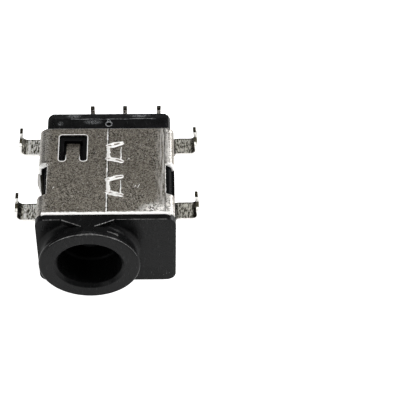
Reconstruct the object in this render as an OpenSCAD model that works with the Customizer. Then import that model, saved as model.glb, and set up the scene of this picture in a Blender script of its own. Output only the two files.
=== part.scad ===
// Board-mounted dc barrel jack for a 5.5 mm plug, sunk into a cut-out in its board.
// A moulded housing slides into a folded metal shield whose four legs are soldered
// through the board, and three stamped contacts are pushed into the housing from behind.
// Origin: centre of the plug mouth. +X right and +Y inwards as the plug sees it, +Z up.

/* [Plug] */
// Diameter of the plug sleeve that the jack takes
plug_d = 5.5; // [5:0.1:6]
// Radial clearance round the plug in the mouth
mouth_clear = 0.3; // [0.2:0.05:0.4]
// Radial clearance round the plug in the guide bore behind the mouth
guide_clear = 0.1; // [0.06:0.02:0.12]
// How deep the plug goes in
plug_depth = 9.6; // [8:0.1:11]

/* [Barrel] */
// Outer diameter of the ring round the mouth
ring_d = 9.6; // [9.3:0.1:9.8]
// Thickness of that ring, front to back
ring_t = 0.36; // [0.3:0.02:0.5]
// Distance from the ring's front face to the flange
barrel_l = 1.85; // [1.7:0.05:2.6]
// Depth of the neck groove below the ring's rim
neck_drop = 0.45; // [0.3:0.05:0.6]
// Chamfer of the mouth
mouth_chamfer = 0.32; // [0.2:0.02:0.4]
// Rounding of the ring's front edge
ring_round = 0.24; // [0.1:0.02:0.3]
// Concave radius where the neck meets the flange
neck_fillet = 0.6; // [0.4:0.05:0.7]
// Half the width of the flat gusset on the neck, at the flange
gusset_half = 2.48; // [2:0.05:3]
// Half the width of the gusset's rib, at the ring
rib_half = 0.58; // [0.4:0.02:0.8]
// How far the gusset reaches before it is only the rib
gusset_reach = 0.8; // [0.6:0.05:1]
// Half the angle that the raised pad behind the ring spans
pad_half_angle = 38; // [25:1:50]
// Width of the raised pad, front to back
pad_t = 0.78; // [0.5:0.02:0.9]
// Step from the ring's rim down to the raised pad
pad_drop = 0.12; // [0.08:0.01:0.2]

/* [Shield] */
// Width of the shield
shield_w = 13; // [12.8:0.1:16]
// Length of the shield's top
shield_l = 10.8; // [9.6:0.1:13]
// Height of the shield
shield_h = 9.45; // [9.45:0.05:11.5]
// Thickness of the shield's sheet
sheet_t = 0.3; // [0.25:0.01:0.4]
// Outer radius of the shield's long bends
shield_bend = 0.75; // [0.6:0.05:1.2]
// Sideways distance from the plug's axis to the middle of the shield
plug_side = 1.6; // [1.4:0.05:1.8]
// Distance from the shield's top face down to the plug's axis
axis_drop = 4.6; // [4.6:0.05:5.2]
// Width of the seam along the top
seam_gap = 0.05; // [0.03:0.01:0.1]
// Sideways place of the seam from the middle of the shield
seam_side = 0.14; // [-0.5:0.02:0.5]
// Reach of the two dovetail locks across the seam
lock_reach = 1.25; // [1:0.05:2]
// Length of a lock at its root
lock_root = 1.55; // [1.4:0.05:2]
// Flare of a lock towards its tip, each side
lock_flare = 0.4; // [0.2:0.02:0.45]
// Distance between the middles of the two locks
lock_pitch = 4.25; // [3.6:0.05:5]
// Middle of the front lock behind the shield's front edge
lock_start = 3.45; // [2.6:0.05:3.6]

/* [Latch] */
// Width of the spring tongue that latches the housing
tongue_w = 1.3; // [1:0.05:1.6]
// Length of the tongue
tongue_l = 2.7; // [2.2:0.05:3.2]
// How far the tongue's free end is pressed in
tongue_dip = 0.48; // [0.3:0.02:0.6]
// Width of the slot round the tongue
latch_slot = 0.74; // [0.5:0.02:0.9]
// Slot's rear end ahead of the shield's rear edge
latch_back = 0.78; // [0.5:0.02:1.2]
// Middle of the tongue to the left of the shield's middle
latch_side = 3.25; // [2.8:0.05:3.8]

/* [Legs] */
// Width of the four legs, along the shield
leg_w = 2.05; // [1.6:0.05:2.4]
// Reach of the legs beyond the side walls
leg_reach = 2.4; // [2:0.05:3]
// Depth of the board seat below the shield's top
seat_drop = 4.2; // [3.8:0.05:4.8]
// Height of a leg's tip above the board seat
leg_h = 2.35; // [2.1:0.05:3]
// Height of a leg's shoulders above the board seat
shoulder_h = 1.15; // [0.8:0.05:1.3]
// Width of a leg's tip
tip_w = 0.75; // [0.6:0.05:1]
// Rearward offset of the tip from the middle of its leg
tip_side = 0.18; // [0:0.02:0.3]
// Inward lean of the legs, in degrees
leg_lean = 6; // [0:1:10]
// Inner radius of the legs' bends
leg_bend = 0.45; // [0.15:0.05:0.5]
// Front legs behind the shield's front edge
leg_start = 2.85; // [2.5:0.05:3.2]
// Rear legs behind the shield's rear edge
leg_tail = 0.45; // [0.3:0.05:0.8]
// Depth of the wall strips that carry the rear legs
ear_h = 2.1; // [1.6:0.05:2.4]
// Window round a front leg: its length
window_l = 3.8; // [3.4:0.05:4]
// Window's reach on to the shield's top
window_top = 0.88; // [0.85:0.02:1.2]
// Corner radius of the windows
window_round = 0.3; // [0.1:0.05:0.4]

/* [Housing] */
// Thickness of the front flange
flange_t = 0.73; // [0.5:0.01:1]
// How far the flange stands out above and beside the shield
flange_proud = 0.08; // [0.02:0.01:0.15]
// Height of the flange's lower edge above the bottom of the shield
flange_lift = 0.22; // [0.05:0.01:0.3]
// Corner radius of the front flange
flange_round = 1; // [0.6:0.05:1.2]
// Depth of the pad in the right-hand window below the shield's top
window_pad_drop = 1; // [0.8:0.05:2]
// Clearance between the housing and the shield
shield_clear = 0.03; // [0.02:0.01:0.05]
// How far the housing's roof stands out behind the shield
roof_back = 2.4; // [2.2:0.05:3]
// Drop of the roof's rear edge below the shield's top
roof_drop = 0.43; // [0.4:0.01:0.7]
// Length of the roof's sloping rear edge
roof_slope = 0.75; // [0.5:0.05:1]
// Gap between the rear of the housing and the shield's left wall line
rear_left = 0.62; // [0.5:0.01:0.9]
// Gap between the rear of the housing and the shield's right wall line
rear_right = 0.33; // [0.33:0.01:0.5]
// Depth of the rear shelf below the shield's top
shelf_drop = 5.05; // [4.9:0.05:5.6]
// Reach of the shelf behind the roof
shelf_reach = 2.75; // [2.4:0.05:3.2]
// Height of the shelf's rear face
shelf_h = 2.4; // [1.9:0.02:2.6]
// Gap between a shelf block and the tail beside it, where the block stands off
shelf_gap = 0.2; // [0.1:0.02:0.3]
// Thickness of the housing's floor
floor_t = 1.3; // [1:0.05:1.5]
// Diameter of the insulating post in the bore
post_d = 2.9; // [2.6:0.05:3.1]
// Depth of the post's tip behind the mouth
post_tip = 3.3; // [2.8:0.05:4]

/* [Contacts] */
// Distance from the centre contact to the sleeve contact
contact_pitch = 3.25; // [3.1:0.05:3.4]
// Distance from the sleeve contact to the switch contact
switch_pitch = 3.4; // [3.1:0.05:3.5]
// Thickness of the contacts
contact_t = 0.42; // [0.34:0.02:0.52]
// Clearance between a contact and its slot, each side
contact_clear = 0.03; // [0.02:0.01:0.05]
// Width of a soldering tail, front to back
tail_w = 0.6; // [0.45:0.05:0.8]
// Depth of the tail tips below the shield's top
tail_drop = 2.05; // [1.5:0.05:2.4]
// Width of a contact's upright web, front to back
web_w = 0.95; // [0.7:0.05:1.2]
// Outer diameter of the centre contact's socket
socket_d = 1.7; // [1.5:0.05:1.9]
// Bore of that socket, for the plug's centre pin
socket_bore = 1.1; // [0.8:0.05:1.2]

/* [Hidden] */
$fn = 72;
tiny = 0.01;

// Fore and aft
flange_y = barrel_l;
shield_y = flange_y + flange_t;
shield_end = shield_y + shield_l;
roof_end = shield_end + roof_back;
shelf_end = roof_end + shelf_reach;
bore_end = plug_depth + 0.8;
web_y = roof_end - web_w;
window_y = shield_y + leg_start - (window_l - leg_w) / 4;

// Across
mid_x = plug_side;
left_x = mid_x - shield_w / 2;
right_x = mid_x + shield_w / 2;
rear_x0 = left_x + rear_left;
rear_x1 = right_x - rear_right;
centre_x = 0;
sleeve_x = contact_pitch;
switch_x = contact_pitch + switch_pitch;

// Up and down
top_z = axis_drop;
bottom_z = top_z - shield_h;
roof_z = top_z - roof_drop;
seat_z = top_z - seat_drop;
root_z = seat_z - sheet_t - leg_bend;
shelf_z = top_z - shelf_drop;
shelf_low_z = shelf_z - shelf_h;
tail_z = top_z - tail_drop;
core_top_z = top_z - sheet_t - shield_clear;
core_low_z = bottom_z + sheet_t + shield_clear;
flange_low_z = bottom_z + flange_lift;
floor_z = core_low_z + floor_t;

// Bores
mouth_r = plug_d / 2 + mouth_clear;
guide_r = plug_d / 2 + guide_clear;
rim_r = mouth_r + mouth_chamfer;
ring_r = ring_d / 2;
neck_r = ring_r - neck_drop;
mouth_l = post_tip - 0.2;

// Contacts
slot_w = contact_t + 2 * contact_clear;
web_top_z = roof_z - 0.5;
heel_z = top_z - 4.05;
heel_step = 0.28;
arm_z = shelf_z - 0.35;
leaf_h = 2.4;
leaf_t = contact_t / 2;
leaf_squeeze = 0.3;
leaf_tip_y = post_tip + 1.6;
leaf_touch_y = leaf_tip_y + 1;
leaf_root_y = plug_depth;
leaf_room = 0.12;
cavity_y = 7.6;
blade_y = cavity_y + 1.4;

// A box from its two opposite corners.
module block(low, high) {
    translate(low) cube(high - low);
}

// A rectangle with round corners, centred, standing in the XZ plane, from y0 to y1.
module round_bar(x0, x1, z0, z1, r, y0, y1) {
    translate([(x0 + x1) / 2, y1, (z0 + z1) / 2]) rotate([90, 0, 0])
        linear_extrude(y1 - y0) round_rect(x1 - x0, z1 - z0, r);
}

module round_rect(w, h, r) {
    square([w - 2 * r, h], center = true);
    square([w, h - 2 * r], center = true);
    for (sx = [-1, 1], sy = [-1, 1])
        translate([sx * (w / 2 - r), sy * (h / 2 - r)]) circle(r);
}

// A plate that stands in the YZ plane, with its outline given as [y, z] points.
module upright_plate(x0, x1, outline) {
    translate([x0, 0, 0]) rotate([90, 0, 90]) linear_extrude(x1 - x0) polygon(outline);
}

// A plate seen from above, with its outline given as [x, y] points.
module flat_plate(z0, z1, outline) {
    translate([0, 0, z0]) linear_extrude(z1 - z0) polygon(outline);
}

// A shape turned about the plug's axis, with its outline given as [radius, y] points.
module turned(outline) {
    rotate([-90, 0, 0]) rotate_extrude($fn = 96) polygon(outline);
}

// A quarter of a ring, in the corner where both coordinates are positive.
module quarter_ring(inner, thick) {
    intersection() {
        difference() {
            circle(inner + thick);
            circle(inner);
        }
        square(inner + thick);
    }
}

// ---- Housing ----

// Points along the quarter round of radius r about [cx, cy], from angle a0 to a1.
function round_points(cx, cy, r, a0, a1, steps = 8) =
    [for (i = [0 : steps]) let (a = a0 + (a1 - a0) * i / steps) [cx + r * cos(a), cy + r * sin(a)]];

// The ring round the mouth, and the neck behind it.
module barrel() {
    turned(concat(
        [[0, flange_y + tiny], [0, 0]],
        round_points(ring_r - ring_round, ring_round, ring_round, -90, 0),
        [[ring_r, ring_t], [neck_r, ring_t], [neck_r, flange_y + tiny]]
    ));
}

// The concave flare from the neck out on to the flange, kept inside the flange's outline.
module neck_flare() {
    intersection() {
        turned(concat(
            [[0, flange_y - neck_fillet]],
            round_points(neck_r + neck_fillet, flange_y - neck_fillet, neck_fillet, 180, 90),
            [[neck_r + neck_fillet, flange_y + tiny], [0, flange_y + tiny]]
        ));
        flange_outline(0, shield_y);
    }
}

// Flat gusset and rib on top of the neck, level with the flange's top edge.
module gusset() {
    flat_plate(neck_r - 1, top_z + flange_proud, [
        [-gusset_half, flange_y + tiny], [gusset_half, flange_y + tiny],
        [rib_half, flange_y - gusset_reach], [rib_half, ring_t - tiny],
        [-rib_half, ring_t - tiny], [-rib_half, flange_y - gusset_reach]
    ]);
}

// Raised pad on the neck, behind the ring.
module neck_pad() {
    far = 2 * ring_r;
    reach = far * tan(pad_half_angle);
    intersection() {
        turned([[0, ring_t - tiny], [ring_r - pad_drop, ring_t - tiny],
                [ring_r - pad_drop, ring_t + pad_t], [0, ring_t + pad_t]]);
        translate([0, barrel_l, 0]) rotate([90, 0, 0])
            linear_extrude(barrel_l) polygon([[0, 0], [reach, far], [-reach, far]]);
    }
}

// The flange's outline with its rounded corners, from y0 to y1.
module flange_outline(y0, y1) {
    round_bar(left_x - flange_proud, right_x + flange_proud, flange_low_z, top_z + flange_proud,
              flange_round, y0, y1);
}

// The part of the housing that the shield wraps.
module core() {
    round_bar(left_x + sheet_t + shield_clear, right_x - sheet_t - shield_clear,
              core_low_z, core_top_z, shield_bend - sheet_t, shield_y - tiny, shield_end - tiny);
}

// Pad on the core's right side that fills the shield's window, level with the wall.
module window_pad() {
    above_leg = 0.1;
    block([right_x - 1, window_y + shield_clear, seat_z + above_leg],
          [right_x, window_y + window_l - shield_clear, top_z - window_pad_drop]);
}

// The part behind the shield: a roof with a sloping rear edge and two cut corners, seen from above.
module rear_roof() {
    corner = 0.5;
    intersection() {
        round_bar(rear_x0, rear_x1, bottom_z, core_top_z, shield_bend - sheet_t,
                  shield_end - 1, roof_end);
        flat_plate(shelf_low_z, top_z, [
            [rear_x0, shield_end - 1], [rear_x1, shield_end - 1], [rear_x1, roof_end - corner],
            [rear_x1 - corner, roof_end], [rear_x0 + corner, roof_end], [rear_x0, roof_end - corner]
        ]);
        upright_plate(rear_x0 - 1, rear_x1 + 1, [
            [shield_end - 1, shelf_low_z], [roof_end, shelf_low_z], [roof_end, roof_z],
            [roof_end - roof_slope, core_top_z], [shield_end - 1, core_top_z]
        ]);
    }
}

// One block of the rear shelf, from x0 to x1, with its two lower corners cut.
module shelf_block(x0, x1) {
    cut = 0.24;
    translate([0, shelf_end, 0]) rotate([90, 0, 0]) linear_extrude(shelf_end - roof_end + 1) polygon([
        [x0 + cut, shelf_low_z], [x1 - cut, shelf_low_z], [x1, shelf_low_z + cut], [x1, shelf_z],
        [x0, shelf_z], [x0, shelf_low_z + cut]
    ]);
}

// The three blocks that stand between the contacts' tails.
module shelf() {
    half = slot_w / 2;
    shelf_block(rear_x0, centre_x - half - shelf_gap);
    shelf_block(centre_x + half, sleeve_x - half - shelf_gap);
    shelf_block(switch_x + half + shelf_gap / 2, rear_x1);
}

// The bore that takes the plug: a chamfered mouth, and a closer guide bore behind it.
module plug_bore() {
    turned([[0, -tiny], [rim_r + tiny, -tiny], [mouth_r, mouth_chamfer], [mouth_r, mouth_l],
            [guide_r, mouth_l + mouth_r - guide_r], [guide_r, bore_end], [0, bore_end]]);
}

// The insulating post that stands in the bore round the centre contact's socket.
module centre_post() {
    r = post_d / 2;
    edge = 0.25;
    turned([[0, post_tip], [r - edge, post_tip], [r, post_tip + edge], [r, bore_end + tiny],
            [0, bore_end + tiny]]);
}

// Open space beside the bore, between the sleeve contact and the switch contact.
module side_cavity() {
    arch_w = switch_x - sleeve_x;
    arch_r = 3.6;
    arch_top = top_z - 1.35;
    mid = (sleeve_x + switch_x) / 2;
    intersection() {
        block([sleeve_x, cavity_y, floor_z], [switch_x, shelf_end + 1, arch_top]);
        translate([mid, cavity_y - 1, arch_top - arch_r]) rotate([-90, 0, 0])
            cylinder(r = arch_r, h = shelf_end);
    }
    block([sleeve_x, shield_end + 0.05, bottom_z], [switch_x, shelf_end + 1, floor_z + tiny]);
    channel_w = 1.1;
    channel_d = 0.55;
    block([mid - channel_w / 2, cavity_y + 0.6, floor_z - channel_d],
          [mid + channel_w / 2, shelf_end + 1, floor_z + tiny]);
}

// Slot for one contact's web, arm and tail, open to the rear and below.
module web_slot(x) {
    block([x - slot_w / 2, web_y - contact_clear, bottom_z - 1],
          [x + slot_w / 2, shelf_end + 1, web_top_z + contact_clear]);
}

// Pocket under the shield's latch tongue.
module latch_pocket() {
    room = 0.25;
    x = mid_x - latch_side;
    y = shield_end - latch_back - latch_slot;
    block([x - tongue_w / 2 - room, y - tongue_l, top_z - sheet_t - tongue_dip - 0.35],
          [x + tongue_w / 2 + room, y + room, top_z]);
}

// Relief in the core's left side behind the shield's window.
module window_relief() {
    depth = 0.35;
    block([left_x - 1, window_y, root_z - sheet_t],
          [left_x + sheet_t + depth, window_y + window_l, top_z + 1]);
}

// Shallow moulded pockets and marks on the rear faces.
module rear_pockets() {
    shallow = 0.25;
    step = 0.12;
    block([0.75, roof_end - shallow, top_z - 2.7], [1.4, roof_end + 1, top_z - 1.35]);
    block([0.6, roof_end - step, shelf_z - step], [1.55, shelf_end - 0.5, top_z - 2.9]);
    block([-3.4, roof_end - shallow, top_z - 2], [-1.45, roof_end + 1, top_z - 1.4]);
    block([-3.4, roof_end - step, shelf_z - step], [-2.1, shelf_end - 0.6, top_z - 2]);
    // Square hole in the rear face of the middle block.
    mid = 1.45;
    block([mid - 0.35, shelf_end - 0.8, shelf_z - 1.65], [mid + 0.35, shelf_end + 1, shelf_z - 1.15]);
    // Notch at the inner edge of the left block, and a slot mark beside it.
    edge = centre_x - slot_w / 2 - shelf_gap;
    block([edge - 0.22, shelf_end - 0.5, shelf_z - 1.6], [centre_x, shelf_end + 1, shelf_z - 0.9]);
    block([-3.35, shelf_end - 0.15, shelf_z - 1.65], [-2.35, shelf_end + 1, shelf_z - 1.5]);
    // Round gate mark on the roof, just behind the seam.
    translate([mid_x + seam_side, shield_end + 0.9, core_top_z - 0.2]) cylinder(d = 0.5, h = 1);
}

module housing() color("#1d1e20") {
    difference() {
        union() {
            difference() {
                union() {
                    barrel();
                    neck_flare();
                    gusset();
                    neck_pad();
                    flange_outline(flange_y, shield_y);
                    core();
                    window_pad();
                    rear_roof();
                    shelf();
                }
                plug_bore();
                side_cavity();
            }
            centre_post();
        }
        // Centre contact: a round seat for the socket and a slot for its strip.
        translate([0, post_tip + 0.35, 0]) rotate([-90, 0, 0])
            cylinder(d = socket_d + 2 * contact_clear, h = bore_end - post_tip + 1.2);
        translate([0, post_tip - 1, 0]) rotate([-90, 0, 0]) cylinder(d = socket_bore + 0.1, h = 3);
        block([-slot_w / 2, bore_end, -socket_d / 2 - contact_clear],
              [slot_w / 2, shelf_end + 1, socket_d / 2 + contact_clear]);
        for (x = [centre_x, sleeve_x, switch_x]) web_slot(x);
        // Sleeve contact: room for its leaf, open to the bore.
        block([sleeve_x - contact_t, leaf_tip_y - 0.3, -leaf_h / 2 - leaf_room],
              [sleeve_x + slot_w / 2, web_y + tiny, leaf_h / 2 + leaf_room]);
        block([guide_r - leaf_squeeze - contact_t, leaf_tip_y - 0.3, -leaf_h / 2 - leaf_room],
              [sleeve_x, leaf_root_y, leaf_h / 2 + leaf_room]);
        // Switch contact: the slot that its blade slides along.
        block([switch_x - slot_w / 2, blade_y - contact_clear, -leaf_h / 2 - contact_clear],
              [switch_x + slot_w / 2, web_y + tiny, leaf_h / 2 + contact_clear]);
        latch_pocket();
        window_relief();
        rear_pockets();
    }
}

// ---- Shield ----

// Everything to the left of the seam, seen from above, with its edge moved out by grow.
function seam_outline(grow) = let (
    x0 = mid_x + seam_side + grow,
    x1 = x0 + lock_reach,
    first = shield_y + lock_start,
    lock = function (y) [
        [x0, y - lock_root / 2 - grow], [x1, y - lock_root / 2 - lock_flare - grow],
        [x1, y + lock_root / 2 + lock_flare + grow], [x0, y + lock_root / 2 + grow]
    ]
) concat(
    [[left_x - 5, shield_y - 1], [x0, shield_y - 1]],
    lock(first), lock(first + lock_pitch),
    [[x0, shield_end + 1], [left_x - 5, shield_end + 1]]
);

// The butt seam with its dovetail locks, cut through the top.
module seam() {
    difference() {
        flat_plate(top_z - 2 * sheet_t, top_z + 1, seam_outline(seam_gap / 2));
        flat_plate(top_z - 3 * sheet_t, top_z + 2, seam_outline(-seam_gap / 2));
    }
}

// The slot that frees the latch tongue on three sides, with round ends.
module latch_opening() {
    x = mid_x - latch_side;
    half = tongue_w / 2 + latch_slot;
    r = latch_slot / 2;
    y1 = shield_end - latch_back;
    y0 = y1 - latch_slot - tongue_l;
    translate([0, 0, top_z - 2 * sheet_t]) linear_extrude(3 * sheet_t) {
        for (side = [-1, 1]) translate([x + side * (half - r), (y0 + y1) / 2])
            round_rect(latch_slot, y1 - y0, r - tiny);
        translate([x - half + r, y1 - latch_slot]) square([2 * (half - r), latch_slot]);
    }
    block([x - tongue_w / 2 - tiny, y0 + tongue_l / 3, top_z - 2 * sheet_t],
          [x + tongue_w / 2 + tiny, y1 - r, top_z + 1]);
}

// The tongue, bent down along its last two thirds.
module tongue() {
    x = mid_x - latch_side;
    y1 = shield_end - latch_back - latch_slot;
    y0 = y1 - tongue_l * 2 / 3;
    upright_plate(x - tongue_w / 2, x + tongue_w / 2, [
        [y0 - 0.1, top_z - sheet_t], [y0, top_z - sheet_t], [y1, top_z - sheet_t - tongue_dip],
        [y1, top_z - tongue_dip], [y0, top_z], [y0 - 0.1, top_z]
    ]);
}

// One leg in section: up from the wall, out along the board seat, and up again.
module leg_section() {
    out = leg_reach - sheet_t - leg_bend;
    translate([leg_bend, root_z]) mirror([1, 0]) quarter_ring(leg_bend, sheet_t);
    translate([leg_bend, seat_z - sheet_t]) square([out - leg_bend, sheet_t]);
    translate([out, seat_z + leg_bend]) {
        mirror([0, 1]) quarter_ring(leg_bend, sheet_t);
        rotate(leg_lean) {
            mirror([0, 1]) quarter_ring(leg_bend, sheet_t);
            translate([leg_bend, -tiny]) square([sheet_t, leg_h]);
        }
    }
    translate([-sheet_t, root_z - 0.2]) square([sheet_t, 0.2 + tiny]);
}

// A leg on the right-hand wall, starting at y: its shoulders lead to a narrow tip.
module leg(y) {
    tip_cut = 0.18;
    m = y + leg_w / 2 + tip_side;
    slope = 0.3;
    intersection() {
        translate([right_x, y + leg_w, 0]) rotate([90, 0, 0]) linear_extrude(leg_w) leg_section();
        upright_plate(right_x - 1, right_x + leg_reach + 1, [
            [y, root_z - 1], [y + leg_w, root_z - 1], [y + leg_w, seat_z + shoulder_h],
            [m + tip_w / 2, seat_z + shoulder_h + slope], [m + tip_w / 2, seat_z + leg_h - tip_cut],
            [m + tip_w / 2 - tip_cut, seat_z + leg_h], [m - tip_w / 2 + tip_cut, seat_z + leg_h],
            [m - tip_w / 2, seat_z + leg_h - tip_cut], [m - tip_w / 2, seat_z + shoulder_h + slope],
            [y, seat_z + shoulder_h]
        ]);
    }
}

// What the right-hand side adds to the folded tube.
module shield_side() {
    y_rear = shield_end + leg_tail;
    leg(shield_y + leg_start);
    leg(y_rear);
    ear_round = 0.4;
    upright_plate(right_x - sheet_t, right_x, [
        [shield_end - 1, root_z], [y_rear + leg_w, root_z],
        [y_rear + leg_w, root_z - ear_h + ear_round], [y_rear + leg_w - ear_round, root_z - ear_h],
        [shield_end - 1, root_z - ear_h]
    ]);
}

// The window that each front leg was cut from, round the top corner and down the wall.
module leg_window() {
    beyond = 1;
    translate([right_x + (beyond - window_top) / 2, window_y + window_l / 2, root_z])
        linear_extrude(top_z + 1 - root_z) round_rect(beyond + window_top, window_l, window_round);
}

// The same thing on both sides of the shield's middle.
module mirror_sides() {
    children();
    translate([2 * mid_x, 0, 0]) mirror([1, 0, 0]) children();
}

module shield() color("#8b8780") {
    difference() {
        round_bar(left_x, right_x, bottom_z, top_z, shield_bend, shield_y, shield_end);
        round_bar(left_x + sheet_t, right_x - sheet_t, bottom_z + sheet_t, top_z - sheet_t,
                  shield_bend - sheet_t, shield_y - 1, shield_end + 1);
        seam();
        latch_opening();
        mirror_sides() leg_window();
    }
    tongue();
    mirror_sides() shield_side();
}

// ---- Contacts ----

// Upright web, arm and soldering tail of a contact, stamped from one flat strip.
module blade(x) {
    tip_cut = 0.16;
    upright_plate(x - contact_t / 2, x + contact_t / 2, [
        [web_y, shelf_low_z], [shelf_end, shelf_low_z], [shelf_end, tail_z - tip_cut],
        [shelf_end - tip_cut, tail_z], [shelf_end - tail_w + tip_cut, tail_z],
        [shelf_end - tail_w, tail_z - tip_cut], [shelf_end - tail_w, arm_z],
        [roof_end + heel_step, arm_z], [roof_end + heel_step, heel_z - heel_step],
        [roof_end, heel_z], [roof_end, web_top_z], [web_y, web_top_z]
    ]);
}

// Centre contact: its strip runs forward into the post and ends in a round socket.
module centre_contact() color("#c9c2b4") {
    seat_y = post_tip + 0.4;
    socket_l = bore_end - post_tip + 0.9;
    difference() {
        union() {
            blade(centre_x);
            upright_plate(-contact_t / 2, contact_t / 2, [
                [bore_end + 0.4, -socket_d / 2], [web_y + tiny, -socket_d / 2],
                [web_y + tiny, socket_d / 2], [bore_end + 0.4, socket_d / 2]
            ]);
            translate([0, seat_y, 0]) rotate([-90, 0, 0]) cylinder(d = socket_d, h = socket_l);
        }
        translate([0, seat_y - 1, 0]) rotate([-90, 0, 0])
            cylinder(d = socket_bore, h = plug_depth - seat_y + 1);
    }
}

// Sleeve contact: a leaf runs forward beside the bore and bows in to press on the plug.
module sleeve_contact() color("#c9c2b4") {
    blade(sleeve_x);
    near = sleeve_x - contact_t / 2;
    touch = guide_r - leaf_squeeze;
    flat_plate(-leaf_h / 2, leaf_h / 2, [
        [near, web_y + tiny], [near, leaf_root_y], [touch, leaf_touch_y], [touch + 0.3, leaf_tip_y],
        [touch + 0.3 + leaf_t, leaf_tip_y], [touch + leaf_t, leaf_touch_y],
        [near + leaf_t, leaf_root_y - 0.2], [near + leaf_t, web_y + tiny]
    ]);
    // Small folded ear that shows in the rear opening.
    ear = 0.35;
    block([sleeve_x, web_y + 0.2, top_z - 2.6], [sleeve_x + contact_t / 2 + ear, web_y + 0.2 + leaf_t, top_z - 1.9]);
}

// Switch contact: a plain blade that runs forward along the wall of the side cavity.
module switch_contact() color("#c9c2b4") {
    blade(switch_x);
    upright_plate(switch_x - contact_t / 2, switch_x + contact_t / 2, [
        [blade_y, -leaf_h / 2 + 0.4], [blade_y + 0.4, -leaf_h / 2], [web_y + tiny, -leaf_h / 2],
        [web_y + tiny, leaf_h / 2], [blade_y + 0.4, leaf_h / 2], [blade_y, leaf_h / 2 - 0.4]
    ]);
}

housing();
shield();
centre_contact();
sleeve_contact();
switch_contact();
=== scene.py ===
"""Looks of a board-mounted dc barrel jack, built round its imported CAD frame."""

import functools
import math

import bmesh
import bpy
import numpy as np
from mathutils import Matrix, Vector
from mathutils.bvhtree import BVHTree


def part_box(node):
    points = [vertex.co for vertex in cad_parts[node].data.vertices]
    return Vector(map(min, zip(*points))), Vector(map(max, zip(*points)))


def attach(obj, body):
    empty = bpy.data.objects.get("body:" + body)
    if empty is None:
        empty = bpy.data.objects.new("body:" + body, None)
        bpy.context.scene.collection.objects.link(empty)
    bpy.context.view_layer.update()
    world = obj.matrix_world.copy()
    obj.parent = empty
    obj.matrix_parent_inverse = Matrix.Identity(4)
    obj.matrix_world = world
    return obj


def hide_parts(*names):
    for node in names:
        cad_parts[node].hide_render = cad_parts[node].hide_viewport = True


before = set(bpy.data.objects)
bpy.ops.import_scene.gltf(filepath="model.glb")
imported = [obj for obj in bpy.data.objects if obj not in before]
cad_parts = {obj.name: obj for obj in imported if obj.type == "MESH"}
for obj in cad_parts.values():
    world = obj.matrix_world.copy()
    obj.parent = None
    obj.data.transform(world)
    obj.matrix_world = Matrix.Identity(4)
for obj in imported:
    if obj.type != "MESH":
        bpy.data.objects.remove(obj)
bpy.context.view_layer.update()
MM = 0.001


# ---- Housing ----
# One black moulding: the flange and ringed barrel in front, the core that the shield wraps,
# the roof and the three shelf blocks behind. It comes out of a spark-eroded mould, so its
# faces have a fine even grain, and its corners are only as sharp as the plastic flowed.

HOUSING_EDGE = 0.06


def merged_shape(node_name):
    """A CAD node's mesh in mm, its doubles merged and its flat areas joined into whole faces."""
    shape = bmesh.new()
    shape.from_mesh(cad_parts[node_name].data)
    bmesh.ops.transform(shape, matrix=Matrix.Scale(1 / MM, 4), verts=shape.verts)
    bmesh.ops.remove_doubles(shape, verts=shape.verts, dist=0.002)
    bmesh.ops.dissolve_limit(shape, angle_limit=math.radians(0.6), verts=shape.verts, edges=shape.edges)
    for face in shape.faces:
        face.smooth = True
    return shape


def rounded_copy(shape, name, stands_for, width, sharp_above):
    """A finished piece from a merged shape: each edge sharper than sharp_above degrees becomes
    a round of the given width in mm, and the flats keep their own straight normals."""
    mesh = bpy.data.meshes.new(name)
    shape.to_mesh(mesh)
    shape.free()
    piece = bpy.data.objects.new(name, mesh)
    bpy.context.scene.collection.objects.link(piece)
    bevel = piece.modifiers.new("round", "BEVEL")
    bevel.width = width
    bevel.segments = 2
    bevel.limit_method = "ANGLE"
    bevel.angle_limit = math.radians(sharp_above)
    bevel.use_clamp_overlap = False
    bevel.miter_outer = "MITER_ARC"
    weigh = piece.modifiers.new("flats", "WEIGHTED_NORMAL")
    weigh.keep_sharp = True
    weigh.weight = 90
    bpy.context.view_layer.update()
    graph = bpy.context.evaluated_depsgraph_get()
    finished = bpy.data.meshes.new_from_object(piece.evaluated_get(graph))
    piece.modifiers.clear()
    piece.data = finished
    finished.transform(Matrix.Scale(MM, 4))
    finished.name = name
    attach(piece, "root")
    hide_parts(stands_for)
    return piece


housing = rounded_copy(merged_shape("housing"), "housing_moulding", "housing", HOUSING_EDGE, 28)
shield_low, shield_high = (np.array(corner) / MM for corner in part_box("shield"))
TOP = shield_high[2]
MIDDLE = (shield_low[0] + shield_high[0]) / 2
FRONT = shield_low[1]
SHIELD_LENGTH = 10.8
ROOF_LENGTH = 2.4
REAR = FRONT + SHIELD_LENGTH
ROOF_END = REAR + ROOF_LENGTH
GATE = (MIDDLE + 0.14, REAR + 0.9)


def shader_node(tree, kind, inputs=None, **settings):
    """A shader node with its settings made, and each named or numbered input set or linked."""
    made = tree.nodes.new("ShaderNode" + kind)
    for name, value in settings.items():
        setattr(made, name, value)
    for name, value in (inputs or {}).items():
        if isinstance(value, bpy.types.NodeSocket):
            tree.links.new(value, made.inputs[name])
        else:
            made.inputs[name].default_value = value
    return made


def combine(tree, operation, first, second):
    """One number or mask from two."""
    return shader_node(tree, "Math", {0: first, 1: second}, operation=operation).outputs[0]


def overlap(tree, *masks):
    """The mask that all the masks share: their product."""
    return functools.reduce(lambda first, second: combine(tree, "MULTIPLY", first, second), masks)


def either(tree, *masks):
    """The mask that any of the masks gives: the largest of them."""
    return functools.reduce(lambda first, second: combine(tree, "MAXIMUM", first, second), masks)


def distance(tree, value, place=0):
    """How far a value is from a place, either way."""
    return combine(tree, "ABSOLUTE", combine(tree, "SUBTRACT", value, place), 0)


def axes(tree, vector):
    """The X, Y and Z of a vector, by name."""
    return shader_node(tree, "SeparateXYZ", {"Vector": vector}).outputs


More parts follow.
